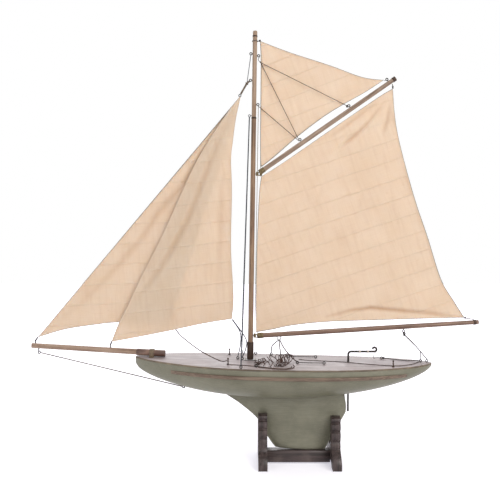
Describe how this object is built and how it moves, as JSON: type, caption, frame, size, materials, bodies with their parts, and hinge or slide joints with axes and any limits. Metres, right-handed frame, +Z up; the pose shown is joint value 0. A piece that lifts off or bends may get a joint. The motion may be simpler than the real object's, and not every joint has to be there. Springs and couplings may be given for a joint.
{
  "type": "pond yacht on stand",
  "caption": "Gaff-rigged pond yacht with fin keel and cotton sails on a dark wooden stand; it lifts off, and its tiller, boom, gaff and headsails swing.",
  "frame": {"origin": "on the floor below the middle of the whole length, bowsprit tip to boom end", "axes": "+X aft (the bow points to -X), +Y to starboard (the picture is taken from -Y, the port side), +Z up"},
  "size_m": [0.9884, 0.1776, 0.9477],
  "materials": {
    "hull_paint": "worn matt green oil paint",
    "lead_paint": "worn matt green oil paint over lead",
    "deck_varnish": "thin faded varnish",
    "strake_wood": "stained and worn",
    "spar_wood": "dull varnish",
    "sprit_wood": "rubbed varnish",
    "stand_wood": "dark polish",
    "dark_metal": "blackened by age",
    "brass": "tarnished",
    "iron": "dark and dull",
    "plate": "pale, dull",
    "sail_cotton": "plain weave cotton",
    "rig_cord": "twisted grey line",
    "brown_cord": "twisted brown line",
    "pale_thread": "waxed thread"
  },
  "bodies": {
    "stand": {"fore_board": "stand_wood", "aft_board": "stand_wood", "stretcher": "stand_wood"},
    "tiller": {"tiller": "iron", "tiller_bands": "pale_thread"},
    "boom": {"boom_jaw": "brass", "boom_pin": "brass", "boom": "spar_wood", "boom_band": "brass", "boom_staple": "iron", "sheet_clip": "iron", "mainsail": "sail_cotton", "mainsail_lashings": "pale_thread", "luff_cord": "rig_cord"},
    "gaff": {"gaff_jaw": "brass", "gaff_pin": "brass", "gaff": "spar_wood", "gaff_cap": "dark_metal", "gaff_eyes": "brass", "topsail": "sail_cotton", "topsail_lashings": "pale_thread", "gaff_halyards": "brown_cord"},
    "staysail": {"staysail": "sail_cotton"},
    "jib": {"jib": "sail_cotton"},
    "boat": {"hull_shell": "hull_paint", "deck": "deck_varnish", "fin_keel": "hull_paint", "ballast_lead": "lead_paint", "keel_bolts": "brass", "rubbing_strakes": "strake_wood", "bowsprit": "sprit_wood", "bowsprit_socket": "dark_metal", "bowsprit_strap": "brass", "deck_screws": "brass", "sprit_hooks": "iron", "bobstay": "rig_cord", "bobstay_eye": "iron", "mast_plate": "plate", "mast_tube": "dark_metal", "lower_mast": "spar_wood", "mast_ferrule": "dark_metal", "topmast": "spar_wood", "mast_eyes": "brass", "masthead_band": "brass", "topsail_strop": "pale_thread", "shroud_strop": "rig_cord", "shrouds": "rig_cord", "deck_eyes": "iron", "jackstays": "iron", "bollards": "iron", "rudder_tube": "brass", "mast_lugs": "brass", "headsail_halyard": "rig_cord", "main_sheet": "brown_cord", "boom_falls": "brown_cord", "sheet_coil": "brown_cord", "staysail_sheets": "rig_cord", "jib_sheet": "rig_cord", "deck_line": "brown_cord", "steering_line": "brown_cord"}
  },
  "joints": [
    {"name": "lift_from_stand", "type": "slide", "parent": "stand", "child": "boat", "axis": [0, 0, 1], "range_m": [0, 0.13]},
    {"name": "tiller_swing", "type": "hinge", "parent": "boat", "child": "tiller", "pos_m": [0.2068, 0, 0.23], "axis": [0, 0, 1], "range_deg": [-35, 35], "deforming": ["steering_line"]},
    {"name": "boom_swing", "type": "hinge", "parent": "boat", "child": "boom", "pos_m": [-0.00032, 0, 0.2826], "axis": [0.015, 0, 0.9999], "range_deg": [-60, 60], "deforming": ["main_sheet", "boom_falls"]},
    {"name": "gaff_swing", "type": "hinge", "parent": "boat", "child": "gaff", "pos_m": [0.00503, 0, 0.63906], "axis": [0.015, 0, 0.9999], "range_deg": [-60, 60]},
    {"name": "staysail_swing", "type": "hinge", "parent": "boat", "child": "staysail", "pos_m": [-0.3175, -0.0012, 0.2695], "axis": [0.4682, 0, 0.8836], "range_deg": [0, 24], "deforming": ["staysail_sheets"]},
    {"name": "jib_swing", "type": "hinge", "parent": "boat", "child": "jib", "pos_m": [-0.481, 0.0012, 0.279], "axis": [0.647, 0, 0.7625], "range_deg": [0, 14.5], "deforming": ["jib_sheet"]}
  ],
  "couplings": [
    {"joint": "gaff_swing", "follows": "boom_swing", "ratio": 1},
    {"joint": "jib_swing", "follows": "staysail_swing", "ratio": 0.6}
  ]
}
